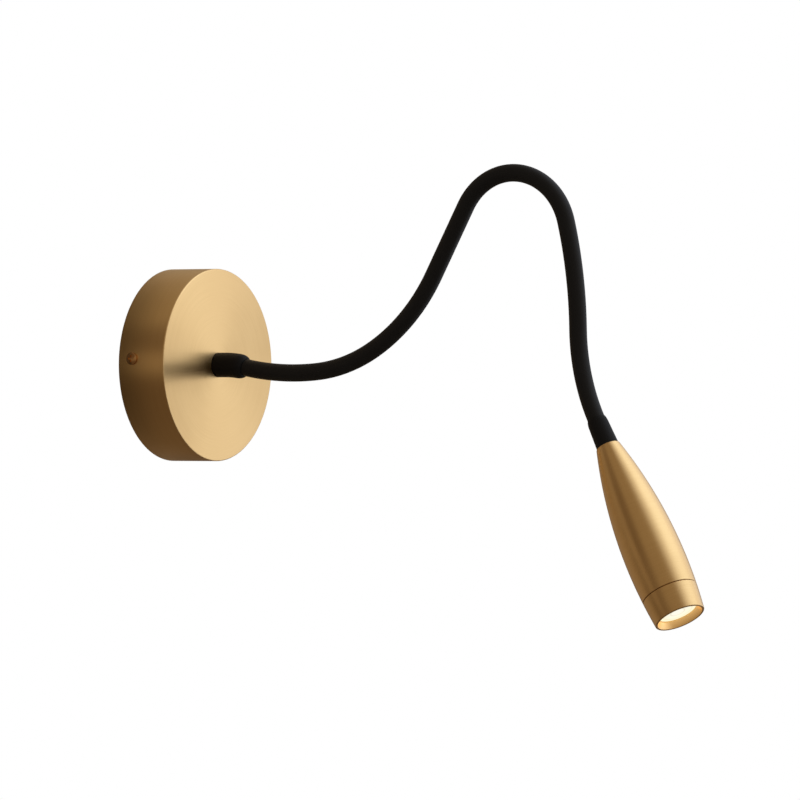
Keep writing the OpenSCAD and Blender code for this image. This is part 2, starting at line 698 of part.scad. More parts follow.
// The holder is a thin plastic cup round the lens, standing on the board.
holder_foot = 2.2;
holder_gap = 0.3;
holder_rim = 2;
module lens_holder() color(black) multmatrix(head_frame) rotate_extrude($fn = round_fn) difference() {
    polygon([[0, holder_back], [lens_back_r + holder_foot, holder_back],
             [lens_seat_r - slide_fit, flange_back - holder_rim], [lens_seat_r - slide_fit, flange_back],
             [0, flange_back]]);
    polygon([[0, holder_back - eps], [chip_w * 0.75, holder_back - eps],
             [chip_w * 0.75, lens_back - holder_gap], [lens_back_r + holder_gap, lens_back - holder_gap],
             [lens_cone_r + holder_gap, flange_back + eps], [0, flange_back + eps]]);
}

module head_lead() color(white) multmatrix(head_frame) translate([0, 0, -ferrule_outside])
    cylinder(d = lead_d, h = ferrule_outside + sink_front, $fn = small_fn);

canopy_cover();
mounting_plate();
cable_grommet();
side_screws();
root_nipple();
lock_nut();
toothed_washer();
driver_housing();
driver_lid();
driver_board();
driver_screws();
terminal_block();
terminal_screws();
earth_screw();
input_lead();
output_lead();
root_collar();
neck_core_0();
neck_sleeve_0();
neck_lead_0();
for (k = [1:NECK_COUNT]) {
    neck_core(k);
    neck_sleeve(k);
    neck_lead(k);
}
head_collar();
head_ferrule();
head_nut();
head_shell();
bezel_ring();
heat_sink();
led_board();
led_chip();
lens_holder();
lens();
head_lead();
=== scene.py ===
# A wall reading lamp with a round brass canopy, a sleeved gooseneck and a slim brass spotlight head.
# Metres. The wall is the plane Y = 0, the lamp stands out along -Y, and Z is up.
import math

import bmesh
import bpy
from mathutils import Matrix, Vector


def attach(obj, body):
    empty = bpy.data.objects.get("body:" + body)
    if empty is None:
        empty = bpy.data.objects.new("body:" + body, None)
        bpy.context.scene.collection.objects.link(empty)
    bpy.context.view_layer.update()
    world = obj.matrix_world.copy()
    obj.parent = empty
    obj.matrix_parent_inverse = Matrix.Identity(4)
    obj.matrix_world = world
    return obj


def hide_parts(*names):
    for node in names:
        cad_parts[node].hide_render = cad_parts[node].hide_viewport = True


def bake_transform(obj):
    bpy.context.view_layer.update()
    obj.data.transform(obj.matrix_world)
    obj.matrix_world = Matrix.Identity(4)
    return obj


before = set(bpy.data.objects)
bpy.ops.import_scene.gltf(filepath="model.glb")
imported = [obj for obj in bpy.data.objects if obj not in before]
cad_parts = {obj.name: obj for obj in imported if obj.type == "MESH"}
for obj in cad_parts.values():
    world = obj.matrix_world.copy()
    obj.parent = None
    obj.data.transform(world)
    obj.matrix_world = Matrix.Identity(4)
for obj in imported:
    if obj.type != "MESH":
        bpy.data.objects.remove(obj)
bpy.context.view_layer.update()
scene = bpy.context.scene
MM = 0.001

# The view
# A level telephoto view from the lamp's left front, which sees the canopy's face and its left side.
view_azimuth = math.radians(-56.83)
view_distance = 4.0
view_focal_px = 7813.4
frame_px = 800
sensor_mm = 36.0
aim = Vector((0, -141.0, -18.2)) * MM
towards_camera = Vector((math.sin(view_azimuth), -math.cos(view_azimuth), 0))
image_right = Vector((math.cos(view_azimuth), math.sin(view_azimuth), 0))
camera_data = bpy.data.cameras.new("camera")
camera_data.sensor_width = sensor_mm
camera_data.lens = view_focal_px / frame_px * sensor_mm
camera_data.clip_end = 50
camera = bpy.data.objects.new("camera", camera_data)
camera.location = aim + towards_camera * view_distance
camera.rotation_euler = (math.radians(90), 0, view_azimuth)
scene.collection.objects.link(camera)
scene.camera = camera

# The canopy
# A spun brass cup, 100 mm across and 28 mm deep, brushed in circles on the lathe and lacquered.
# It slips over the plate on the wall and two side screws hold it there.
canopy_r = 50 * MM
canopy_depth = 28 * MM
sheet = 1.2 * MM
front_edge_r = 0.8 * MM
rim_edge_r = 0.3 * MM
nipple_hole_r = 5.1 * MM
brass_colour = (0.87, 0.575, 0.25, 1)
brass_shade = (0.81, 0.525, 0.22, 1)
# The canopy's own axis runs out of the wall: its Z is the lamp's -Y.
wall_frame = Matrix.Rotation(math.radians(90), 4, "X")


def round_corner(centre, radius, start_deg, end_deg, steps=6):
    """Points of a rounded corner in an outline of (radius, height)."""
    points = []
    for i in range(steps + 1):
        a = math.radians(start_deg + (end_deg - start_deg) * i / steps)
        points.append((centre[0] + radius * math.cos(a), centre[1] + radius * math.sin(a)))
    return points


def settle_order(bm):
    """The same form with its vertices and faces in a fixed order, which changes with each spin."""
    verts = sorted(bm.verts, key=lambda vert: [round(c / MM, 4) for c in vert.co])
    rank = {vert: i for i, vert in enumerate(verts)}
    corners = []
    for face in bm.faces:
        ranks = [rank[vert] for vert in face.verts]
        first = ranks.index(min(ranks))
        corners.append(ranks[first:] + ranks[:first])
    settled = bmesh.new()
    made = [settled.verts.new(vert.co) for vert in verts]
    for ranks in sorted(corners):
        settled.faces.new([made[i] for i in ranks])
    bm.free()
    return settled


def turn_outline(outline, closed=True, steps=144):
    """A turned form about its own Z axis, from an outline of (radius, height)."""
    bm = bmesh.new()
    verts = [bm.verts.new((r, 0, z)) for r, z in outline]
    count = len(verts)
    for i in range(count if closed else count - 1):
        bm.edges.new((verts[i], verts[(i + 1) % count]))
    bmesh.ops.spin(bm, geom=bm.verts[:] + bm.edges[:], cent=(0, 0, 0), axis=(0, 0, 1),
                   angle=math.tau, steps=steps, use_merge=True)
    bmesh.ops.remove_doubles(bm, verts=bm.verts[:], dist=1e-7)
    bmesh.ops.recalc_face_normals(bm, faces=bm.faces[:])
    return settle_order(bm)


def wrap_round(bm):
    """A UV map whose U runs round the form's own Z axis, which gives the brushing its direction."""
    layer = bm.loops.layers.uv.new("UVMap")
    for face in bm.faces:
        middle = face.calc_center_median()
        middle_turn = math.atan2(middle.y, middle.x)
        for loop in face.loops:
            x, y, z = loop.vert.co
            turn = math.atan2(y, x) if math.hypot(x, y) > 1e-6 else middle_turn
            turn = middle_turn + math.remainder(turn - middle_turn, math.tau)
            loop[layer].uv = (turn / math.tau, (z + math.hypot(x, y)) / canopy_r)


def finish_piece(name, bm, place, material, nodes, smooth_deg=35):
    """Puts a form in its place in the lamp, with its faces smoothed and its CAD nodes replaced."""
    bm.transform(place)
    mesh = bpy.data.meshes.new(name)
    bm.to_mesh(mesh)
    bm.free()
    mesh.materials.append(material)
    mesh.shade_smooth()
    mesh.set_sharp_from_angle(angle=math.radians(smooth_deg))
    piece = bpy.data.objects.new(name, mesh)
    scene.collection.objects.link(piece)
    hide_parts(*nodes)
    return piece


def new_material(name):
    material = bpy.data.materials.new(name)
    material.use_nodes = True
    return material, material.node_tree, material.node_tree.nodes["Principled BSDF"]


def add_node(tree, kind, **settings):
    node = tree.nodes.new(kind)
    for key, value in settings.items():
        setattr(node, key, value)
    return node


def own_axes(tree, place):
    """Where a point lies on a piece, in the piece's own axes, from its place in the lamp."""
    own = add_node(tree, "ShaderNodeMapping", vector_type="TEXTURE")
    own.inputs["Location"].default_value = place.to_translation()
    own.inputs["Rotation"].default_value = place.to_euler()
    tree.links.new(add_node(tree, "ShaderNodeTexCoord").outputs["Object"], own.inputs["Vector"])
    return own.outputs[0]


def add_noise(tree, vector, scale, detail=2.0):
    noise = add_node(tree, "ShaderNodeTexNoise")
    noise.inputs["Scale"].default_value = scale
    noise.inputs["Detail"].default_value = detail
    tree.links.new(vector, noise.inputs["Vector"])
    return noise


def vary_tone(tree, shader, share, dark, light):
    """Mixes the base colour between two tones."""
    tone = add_node(tree, "ShaderNodeMix", data_type="RGBA")
    tone.inputs["A"].default_value = dark
    tone.inputs["B"].default_value = light
    tree.links.new(share, tone.inputs["Factor"])
    tree.links.new(tone.outputs["Result"], shader.inputs["Base Color"])


def vary_roughness(tree, shader, share, least, most):
    span = add_node(tree, "ShaderNodeMapRange")
    span.inputs["To Min"].default_value = least
    span.inputs["To Max"].default_value = most
    tree.links.new(share, span.inputs["Value"])
    tree.links.new(span.outputs[0], shader.inputs["Roughness"])


def add_relief(tree, shader, height, strength, depth):
    """Raises the skin by a fine relief, whose depth is in mm."""
    bump = add_node(tree, "ShaderNodeBump")
    bump.inputs["Strength"].default_value = strength
    bump.inputs["Distance"].default_value = depth * MM
    tree.links.new(height, bump.inputs["Height"])
    tree.links.new(bump.outputs[0], shader.inputs["Normal"])


def sockets(group, inputs, outputs):
    """Gives a shader node group its named inputs and outputs."""
    for name, kind in inputs:
        group.interface.new_socket(name=name, in_out="INPUT", socket_type=kind)
    for name, kind in outputs:
        group.interface.new_socket(name=name, in_out="OUTPUT", socket_type=kind)
    return group.nodes.new("NodeGroupInput"), group.nodes.new("NodeGroupOutput")


def make_turning_marks():
    """Fine marks that run round a turned piece's own Z axis, with a slow change round and along it."""
    group = bpy.data.node_groups.new("turning_marks", "ShaderNodeTree")
    given, out = sockets(group, [("Vector", "NodeSocketVector"), ("Fineness", "NodeSocketFloat")],
                         [("Marks", "NodeSocketFloat"), ("Clouds", "NodeSocketFloat")])
    link = group.links.new
    split = add_node(group, "ShaderNodeSeparateXYZ")
    link(given.outputs["Vector"], split.inputs[0])
    flat = add_node(group, "ShaderNodeCombineXYZ")
    link(split.outputs["X"], flat.inputs["X"])
    link(split.outputs["Y"], flat.inputs["Y"])
    size = add_node(group, "ShaderNodeVectorMath", operation="LENGTH")
    link(flat.outputs[0], size.inputs[0])
    turn = add_node(group, "ShaderNodeVectorMath", operation="NORMALIZE")
    link(flat.outputs[0], turn.inputs[0])
    along = add_node(group, "ShaderNodeMath", operation="ADD")
    link(size.outputs["Value"], along.inputs[0])
    link(split.outputs["Z"], along.inputs[1])
    fine = add_node(group, "ShaderNodeMath", operation="MULTIPLY")
    link(along.outputs[0], fine.inputs[0])
    link(given.outputs["Fineness"], fine.inputs[1])
    round_part = add_node(group, "ShaderNodeSeparateXYZ")
    link(turn.outputs[0], round_part.inputs[0])
    mark_place = add_node(group, "ShaderNodeCombineXYZ")
    link(round_part.outputs["X"], mark_place.inputs["X"])
    link(round_part.outputs["Y"], mark_place.inputs["Y"])
    link(fine.outputs[0], mark_place.inputs["Z"])
    marks = add_noise(group, mark_place.outputs[0], 1.0, 3.0)
    marks.inputs["Roughness"].default_value = 0.65
    clouds = add_noise(group, given.outputs["Vector"], 45.0)
    link(marks.outputs["Fac"], out.inputs["Marks"])
    link(clouds.outputs["Fac"], out.inputs["Clouds"])
    return group


turning_marks = make_turning_marks()


def make_turned_metal(name, place, colour, shade, roughness=0.33, anisotropy=0.75, fineness=6500.0,
                      depth=0.006):
    """A metal brushed in circles about the axis of the piece, whose place in the lamp is given."""
    material, tree, shader = new_material(name)
    link = tree.links.new
    marks = add_node(tree, "ShaderNodeGroup", node_tree=turning_marks)
    marks.inputs["Fineness"].default_value = fineness
    link(own_axes(tree, place), marks.inputs["Vector"])
    tone = add_node(tree, "ShaderNodeMapRange")
    tone.inputs["From Min"].default_value = 0.3
    tone.inputs["From Max"].default_value = 0.62
    link(marks.outputs["Marks"], tone.inputs["Value"])
    vary_tone(tree, shader, tone.outputs[0], shade, colour)
    vary_roughness(tree, shader, marks.outputs["Clouds"], roughness - 0.05, roughness + 0.07)
    add_relief(tree, shader, marks.outputs["Marks"], 0.25, depth)
    tangent = add_node(tree, "ShaderNodeTangent", direction_type="UV_MAP", uv_map="UVMap")
    link(tangent.outputs[0], shader.inputs["Tangent"])
    shader.inputs["Metallic"].default_value = 1.0
    shader.inputs["Anisotropic"].default_value = anisotropy
    shader.inputs["Anisotropic Rotation"].default_value = 0.25
    return material


brass_canopy = make_turned_metal("brushed_brass_canopy", wall_frame, brass_colour, brass_shade)
canopy_outline = (
    [(nipple_hole_r, canopy_depth)]
    + round_corner((canopy_r - front_edge_r, canopy_depth - front_edge_r), front_edge_r, 90, 0)
    + round_corner((canopy_r - rim_edge_r, rim_edge_r), rim_edge_r, 0, -90, 3)
    + [(canopy_r - sheet, 0), (canopy_r - sheet, canopy_depth - sheet),
       (nipple_hole_r, canopy_depth - sheet)])
canopy_form = turn_outline(canopy_outline)
wrap_round(canopy_form)
canopy = finish_piece("canopy", canopy_form, wall_frame, brass_canopy,
                      ["canopy_cover"], smooth_deg=30)
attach(canopy, "canopy")

# The side screws
# Two pan-head screws with a cross recess, in darkened brass, which hold the canopy to the plate's ears.


def make_plain_metal(name, colour, roughness, grain=900.0, depth=0.01):
    """A machined or plated metal with a faint even grain."""
    material, tree, shader = new_material(name)
    noise = add_noise(tree, add_node(tree, "ShaderNodeTexCoord").outputs["Object"], grain, 3.0)
    darker = [c * 0.82 for c in colour[:3]] + [1]
    vary_tone(tree, shader, noise.outputs["Fac"], darker, colour)
    vary_roughness(tree, shader, noise.outputs["Fac"], roughness - 0.08, roughness + 0.08)
    add_relief(tree, shader, noise.outputs["Fac"], 0.2, depth)
    shader.inputs["Metallic"].default_value = 1.0
    return material


def dress_node(node, material):
    """Gives a CAD node whose shape is right its finished material."""
    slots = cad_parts[node].data.materials
    slots.clear()
    slots.append(material)


dress_node("side_screws", make_plain_metal("darkened_brass", (0.76, 0.43, 0.18, 1), 0.2))

# The plate and what stands on it
# A zinc-plated steel plate with two folded ears, and the rubber grommet, the moulded driver box,
# the terminal block and the screws that it carries. They show only from behind.
zinc = make_plain_metal("bright_zinc", (0.70, 0.71, 0.73, 1), 0.36, 420.0)
terminal_brass = make_plain_metal("terminal_brass", (0.78, 0.60, 0.30, 1), 0.3)


def make_moulded(name, colour, roughness=0.5, grain=1800.0, depth=0.03, speck=0.06):
    """A moulded plastic or rubber with a fine skin, clouded by a broad slow change of tone."""
    material, tree, shader = new_material(name)
    place = add_node(tree, "ShaderNodeTexCoord").outputs["Object"]
    skin = add_noise(tree, place, grain, 4.0)
    clouds = add_noise(tree, place, 60.0)
    darker = [max(c - speck * (0.3 + c), 0) for c in colour[:3]] + [1]
    vary_tone(tree, shader, clouds.outputs["Fac"], darker, colour)
    vary_roughness(tree, shader, clouds.outputs["Fac"], roughness - 0.06, roughness + 0.08)
    add_relief(tree, shader, skin.outputs["Fac"], 0.35, depth)
    return material


for node in ("mounting_plate", "root_nipple", "lock_nut", "toothed_washer", "driver_screws"):
    dress_node(node, zinc)
for node in ("terminal_screws", "earth_screw"):
    dress_node(node, terminal_brass)
dress_node("cable_grommet", make_moulded("grommet_rubber", (0.025, 0.025, 0.026, 1), 0.6, speck=0.01))
driver_white = make_moulded("driver_plastic", (0.84, 0.84, 0.81, 1), 0.45)
dress_node("driver_housing", driver_white)
dress_node("driver_lid", driver_white)
dress_node("driver_board", make_moulded("circuit_board", (0.04, 0.20, 0.09, 1), 0.3, 500.0, speck=0.04))
dress_node("terminal_block", make_moulded("terminal_plastic", (0.78, 0.78, 0.74, 1), 0.42))

# The leads inside the canopy
# Two round jacketed leads: one from the terminal block to the driver, one from the driver to the neck.
lead_r = 1.6 * MM
lead_sides = 16
lead_grey = make_moulded("lead_jacket", (0.52, 0.52, 0.50, 1), 0.42, 900.0)


def join_rings(rings, sides, closed=False):
    """A form skinned over a row of rings, each a (place, radius), and capped unless the row closes."""
    bm = bmesh.new()
    loops = []
    for i, (place, radius) in enumerate(rings):
        cap = not closed and i in (0, len(rings) - 1)
        made = bmesh.ops.create_circle(bm, cap_ends=cap, segments=sides, radius=radius, matrix=place)
        loops.append({edge for vert in made["verts"] for edge in vert.link_edges})
    pairs = list(zip(loops, loops[1:])) + ([(loops[-1], loops[0])] if closed else [])
    for first, second in pairs:
        bmesh.ops.bridge_loops(bm, edges=list(first | second))
    bmesh.ops.recalc_face_normals(bm, faces=bm.faces[:])
    return bm


def lead_places(points, up):
    """Ring places along a smooth route through the given points, in the canopy's own axes."""
    steps = 6
    route = []
    for i in range(len(points) - 1):
        a, b = Vector(points[max(i - 1, 0)]), Vector(points[i])
        c, d = Vector(points[i + 1]), Vector(points[min(i + 2, len(points) - 1)])
        for s in range(steps):
            t = s / steps
            route.append(0.5 * (2 * b + (c - a) * t + (2 * a - 5 * b + 4 * c - d) * t * t
                                + (3 * b - a - 3 * c + d) * t * t * t))
    route.append(Vector(points[-1]))
    places = []
    for i, point in enumerate(route):
        along = (route[min(i + 1, len(route) - 1)] - route[max(i - 1, 0)]).normalized()
        side = Vector(up).cross(along).normalized()
        turned = Matrix((side, along.cross(side), along)).transposed().to_4x4()
        places.append((Matrix.Translation(point * MM) @ turned, lead_r))
    return places


input_route = [(-9, 30, 6.5), (-9, 35, 6.5), (-13, 38, 8), (-22, 32, 9), (-32, 22, 10), (-37, 8, 10.5),
               (-37, -8, 10.85), (-33, -22, 10.85), (-27, -27, 10.85), (-21.5, -27, 10.85)]
output_route = [(21.5, -27, 10.85), (27, -27, 10.85), (33, -21, 10.85), (33, -12, 10.5), (25, -3, 10),
                (15, 0, 9.5), (8, 0, 10), (3, 0, 12.5), (0.5, 0, 16), (0, 0, 19.8), (0, 0, 33)]
for name, route, up in (("input_flex", input_route, (0.1, 0.2, 1)),
                        ("output_flex", output_route, (1, -1, 1.4))):
    lead = finish_piece(name, join_rings(lead_places(route, up), lead_sides), wall_frame, lead_grey,
                        [name.replace("_flex", "_lead")])
    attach(lead, "canopy")

# The neck's course
# A flexible tube about 390 mm long, bent by hand into an arch. Its course is a chain of tangent
# arcs, each a (length in mm, bend in degrees, sideways roll in degrees), from the canopy's face.
root_straight = 5.0
root_bend = (11.0, -11.0, 0.0)
root_mouth = 1.5
neck_lengths = [44, 37, 54, 40, 36, 42, 55, 48]
neck_bends = [16, 25, 31, 0, -64, -73, -13, 30]
neck_rolls = [0, 0, 0, 0, 0, 0, 0, -14]
head_collar_len = 16.0
neck_course = ([(root_straight, 0.0, 0.0), root_bend, (root_mouth, 0.0, 0.0)]
               + list(zip(neck_lengths, neck_bends, neck_rolls)) + [(200.0, 0.0, 0.0)])
neck_start = wall_frame @ Matrix.Translation((0, 0, canopy_depth))
first_station = root_straight + root_bend[0] + root_mouth


def neck_place(distance):
    """The place on the neck's middle line, with Z along it, at a distance in mm from the canopy."""
    place = neck_start.copy()
    for length, bend, roll in neck_course:
        part = min(distance, length)
        angle = math.radians(bend) * part / length
        if bend:
            radius = length / math.radians(bend)
            move = Vector((0, radius * (1 - math.cos(angle)), radius * math.sin(angle)))
        else:
            move = Vector((0, 0, part))
        tilt = Matrix.Rotation(math.radians(roll), 4, "Z")
        arc = Matrix.Translation(move * MM) @ Matrix.Rotation(-angle, 4, "X")
        place = place @ tilt.inverted() @ arc @ tilt
        distance -= part
        if distance <= 0:
            break
    return place


def station(k):
    """Distance in mm of the neck's hinge station k, counted from 1 at the collar's mouth."""
    return first_station + sum(neck_lengths[:k - 1])


def spaced(start, end, step):
    """Distances from start to end, evenly spaced at about one step."""
    count = max(int(round((end - start) / step)), 1)
    return [start + (end - start) * i / count for i in range(count + 1)]


def tube_rings(distances, outer, inner):
    """Rings of a tube's outside and then back along its bore, in mm, for a closed skin."""
    return ([(neck_place(s), outer(s) * MM) for s in distances]
            + [(neck_place(s), inner * MM) for s in reversed(distances)])


# The collars
# Moulded black sleeves that hide the fittings at the two ends of the neck. The one at the canopy
# droops a little with the neck, and its mouth tapers down to the sleeve.
black_sheen = (1.0, 0.86, 0.72, 1)


def make_black(name, tone, roughness, grain, depth, specular):
    """A matt black moulding with a weak, slightly warm sheen."""
    material = make_moulded(name, (tone, tone, tone, 1), roughness, grain, depth, speck=0.002)
    shader = material.node_tree.nodes["Principled BSDF"]
    shader.inputs["Specular IOR Level"].default_value = specular
    shader.inputs["Specular Tint"].default_value = black_sheen
    return material


def ring_row(start, profile):
    """Rings on the neck's middle line for a row of (distance past the start, radius), in mm."""
    return [(neck_place(start + s), r * MM) for s, r in profile]


collar_black = make_black("collar_rubber", 0.005, 0.55, grain=1500.0, depth=0.02, specular=0.13)
root_collar_r = 6.4
collar_bore = 4.6
nipple_bore = 5.1
mouth_r = 5.3
mouth_round = 0.3
head_collar_ends = (5.2, 5.8)
head_mouth_len = 0.6
collar_sides = 48
root_edge = 0.25
root_step = 1.3
root_taper = first_station - root_mouth
# The canopy collar's taper is (mm past the end of its droop, mm less than its radius).
taper_drops = [(-1.6, 0.06), (-0.6, 0.24), (0.2, 0.52)]
root_profile = ([(0.0, root_collar_r - root_edge), (root_edge, root_collar_r)]
                + [(s, root_collar_r) for s in spaced(root_step, root_taper - 2 * root_step, root_step)]
                + [(root_taper + s, root_collar_r - drop) for s, drop in taper_drops]
                + [(root_taper + 0.8, mouth_r + 0.28), (first_station - mouth_round, mouth_r),
                   (first_station - 0.08, mouth_r - 0.14), (first_station, mouth_r - mouth_round)])
root_bore = ([(s, collar_bore) for s in reversed(spaced(root_straight, first_station, 1.7))]
             + [(root_straight, nipple_bore), (0, nipple_bore)])
root_form = join_rings(ring_row(0, root_profile + root_bore), collar_sides, closed=True)
root_collar = finish_piece("root_collar_skin", root_form, Matrix(), collar_black,
                           ["root_collar"])
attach(root_collar, "canopy")
neck_end = station(len(neck_lengths) + 1)
mouth_end_r, head_end_r = head_collar_ends
head_swell = (head_end_r - mouth_end_r) / (head_collar_len - head_mouth_len)
# The head collar's mouth is (mm from its end, mm less than its radius there).
mouth_drops = [(0.0, 0.55), (0.2, 0.38), (0.8, 0.2)]
head_profile = ([(s, mouth_end_r - drop) for s, drop in mouth_drops]
                + [(s, mouth_end_r + head_swell * (s - head_mouth_len))
                   for s in spaced(2.4, head_collar_len, 2.0)])
head_bore = [(s, collar_bore) for s in (head_collar_len, head_collar_len / 2, 0)]
head_collar_form = join_rings(ring_row(neck_end, head_profile + head_bore), collar_sides, closed=True)
head_collar = finish_piece("head_collar_skin", head_collar_form, Matrix(), collar_black,
                           ["head_collar"])
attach(head_collar, "head")

# The neck's sleeve, core and lead
# A black silicone sleeve over a wound steel core, with a two-core lead inside. Each is cut midway
# between two stations, so that a length runs unbroken across the hinge station in its middle.
sleeve_r = 4.5
sleeve_bore = 3.65
core_r = 3.6
core_bore = 2.3
winding_pitch = 2.0
winding_dip = 0.12
bend_reach = 17.0
sleeve_black = make_black("sleeve_silicone", 0.006, 0.5, grain=700.0, depth=0.03, specular=0.18)
core_steel = make_plain_metal("wound_steel", (0.50, 0.51, 0.53, 1), 0.38)
sleeve_sides = 40
core_sides = 24
sleeve_step = 2.0
ferrule_outside = 6.0
neck_first = root_straight
neck_last = neck_end + head_collar_len - ferrule_outside
station_count = len(neck_lengths)


def wound(s):
    """The core's outside swells and narrows with each turn of its winding."""
    return core_r - winding_dip * (1 - math.cos(math.tau * s / winding_pitch))


for k in range(1, station_count + 1):
    start = neck_first if k == 1 else (station(k - 1) + station(k)) / 2
    end = neck_last if k == station_count else (station(k) + station(k + 1)) / 2
    bends_from = neck_place(station(k) - (0 if k == 1 else bend_reach)).to_translation()
    bends_to = neck_place(station(k) + bend_reach).to_translation()
    course = spaced(start, end, sleeve_step)
    sleeve_form = join_rings(tube_rings(course, lambda s: sleeve_r, sleeve_bore), sleeve_sides,
                             closed=True)
    windings = spaced(start, end, winding_pitch / 4)
    core_form = join_rings(tube_rings(windings, wound, core_bore), core_sides, closed=True)
    flex_form = join_rings([(neck_place(s), lead_r) for s in course], lead_sides)
    for kind, form, material, slot in (("sleeve", sleeve_form, sleeve_black, "sleeve_silicone"),
                                       ("core", core_form, core_steel, "core_steel"),
                                       ("lead", flex_form, lead_grey, "lead_jacket")):
        covered = [f"neck_{kind}_{k}"] + ([f"neck_{kind}_0"] if k == 1 else [])
        length = finish_piece(f"{kind}_length_{k}", form, Matrix(), material, covered,
                              smooth_deg=50)
        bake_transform(length)

# The head's shell
# One long brass turning whose outline is a single arc, from a 12 mm neck end past 30 mm at its
# widest to the seam. The neck's ferrule is screwed into its boss.
head_len = 99.0
neck_end_r = 6.2
widest_r = 15.0
widest_at = 67.0
shell_wall = 1.3
boss_len = 12.0
ferrule_hole_r = 4.25
seam_at = 85.0
seam_gap = 0.3
thread_r = 12.9
thread_start = 78.0
neck_edge = 0.25
seam_edge = 0.2
seam_drop = 0.15
head_steps = 128
head_rise = widest_r - neck_end_r
head_arc_r = (widest_at ** 2 + head_rise ** 2) / (2 * head_rise)
head_place = neck_place(neck_end + head_collar_len)


def head_r(z, inset=0.0):
    """Radius in mm of the head's outline at a distance from its neck end."""
    return widest_r - head_arc_r + math.sqrt((head_arc_r - inset) ** 2 - (z - widest_at) ** 2)


def in_metres(outline):
    return [(r * MM, z * MM) for r, z in outline]


brass_head = make_turned_metal("brushed_brass_head", head_place, brass_colour, brass_shade)
shell_outline = in_metres(
    [(ferrule_hole_r, 0.0), (head_r(0) - neck_edge, 0.0), (head_r(neck_edge), neck_edge)]
    + [(head_r(z), z) for z in spaced(2.0, seam_at - 1.5, 2.5)]
    + [(head_r(seam_at - seam_edge), seam_at - seam_edge), (head_r(seam_at) - seam_drop, seam_at),
       (thread_r, seam_at), (thread_r, thread_start), (head_r(thread_start, shell_wall), thread_start)]
    + [(head_r(z, shell_wall), z) for z in reversed(spaced(boss_len, thread_start - 3, 4.0))]
    + [(ferrule_hole_r, boss_len)])
shell_form = turn_outline(shell_outline, steps=head_steps)
wrap_round(shell_form)
shell = finish_piece("shell", shell_form, head_place, brass_head, ["head_shell"],
                     smooth_deg=25)
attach(shell, "head")

# The bezel
# A brass ring that screws into the shell behind a fine seam. Inside, a bright cone widens from the
# lens to a thin rim, and the lens's light falling on the cone is a painted glow.
lens_front = 96.0
lens_r = 10.3
lens_seat_r = 11.2
lip = 1.0
spigot_back = 79.5
spigot_r = thread_r - 0.05
rim_land = 1.2
rim_edge = 0.2
rim_in_r = head_r(head_len) - rim_land
ring_back = seam_at + seam_gap
bezel_outline = in_metres(
    [(lens_seat_r, spigot_back), (spigot_r, spigot_back), (spigot_r, ring_back),
     (head_r(ring_back) - seam_drop, ring_back), (head_r(ring_back + seam_edge), ring_back + seam_edge)]
    + [(head_r(z), z) for z in spaced(seam_at + 2, head_len - 0.8, 2.0)]
    + [(head_r(head_len - rim_edge), head_len - rim_edge), (head_r(head_len) - 0.12, head_len),
       (rim_in_r + 0.08, head_len), (rim_in_r - 0.05, head_len - 0.1)]
    + [(lens_r + 0.1, lens_front + 0.1), (lens_r, lens_front), (lens_r, lens_front - lip),
       (lens_seat_r, lens_front - lip)])
bezel_form = turn_outline(bezel_outline, steps=head_steps)
wrap_round(bezel_form)
# The cone's faces take a second material, which carries the painted glow of the lens's light.
cone_faces = [face for face in bezel_form.faces
              if face.calc_center_median().z > (lens_front + 0.05) * MM
              and math.hypot(*face.calc_center_median().xy) < (rim_in_r + 0.02) * MM]
for face in cone_faces:
    face.material_index = 1
bezel = finish_piece("bezel", bezel_form, head_place, brass_head, ["bezel_ring"],
                     smooth_deg=25)
cone_brass = make_turned_metal("painted_glow_brass_cone", head_place, brass_colour, brass_shade,
                               roughness=0.3, anisotropy=0.4)
# Colours of the painted glow that stands in for the lens's light on the cone, beside the lens and at
# the rim.
painted_glow_at_lens = (0.52, 0.31, 0.11, 1)
painted_glow_at_rim = (0.22, 0.12, 0.035, 1)


def paint_lens_glow(material):
    """Paints the lens's light on the cone as a glow, strongest beside the lens."""
    tree = material.node_tree
    split = add_node(tree, "ShaderNodeSeparateXYZ")
    tree.links.new(own_axes(tree, head_place), split.inputs[0])
    fade = add_node(tree, "ShaderNodeMapRange")
    fade.inputs["From Min"].default_value = lens_front * MM
    fade.inputs["From Max"].default_value = head_len * MM
    tree.links.new(split.outputs["Z"], fade.inputs["Value"])
    glow = add_node(tree, "ShaderNodeMix", data_type="RGBA")
    glow.inputs["A"].default_value = painted_glow_at_lens
    glow.inputs["B"].default_value = painted_glow_at_rim
    tree.links.new(fade.outputs[0], glow.inputs["Factor"])
    shader = tree.nodes["Principled BSDF"]
    tree.links.new(glow.outputs["Result"], shader.inputs["Emission Color"])
    shader.inputs["Emission Strength"].default_value = 1.0


paint_lens_glow(cone_brass)
bezel.data.materials.append(cone_brass)
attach(bezel, "head")

# The lens
# A clear moulded lens behind the bezel's lip, lit warm white by the chip behind it. Its front is
# slightly domed, and its body is a cone that gathers the light.
lens_back = 81.9
lens_back_r = 4.25
flange_back = 93.6
lens_play = 0.1
flange_r = lens_seat_r - lens_play
gather_r = lens_r - 1.2
lens_step = 0.5
lens_dome = 0.3
# Each stop of the lens's glow is (share of its radius, colour).
lens_glow = [(0.3, (0.97, 0.94, 0.80, 1)), (0.36, (0.80, 0.74, 0.56, 1)), (0.42, (0.96, 0.93, 0.77, 1)),
             (0.7, (0.95, 0.90, 0.70, 1)), (0.75, (0.82, 0.75, 0.54, 1)), (0.8, (0.95, 0.90, 0.68, 1)),
             (0.93, (0.93, 0.85, 0.58, 1))]


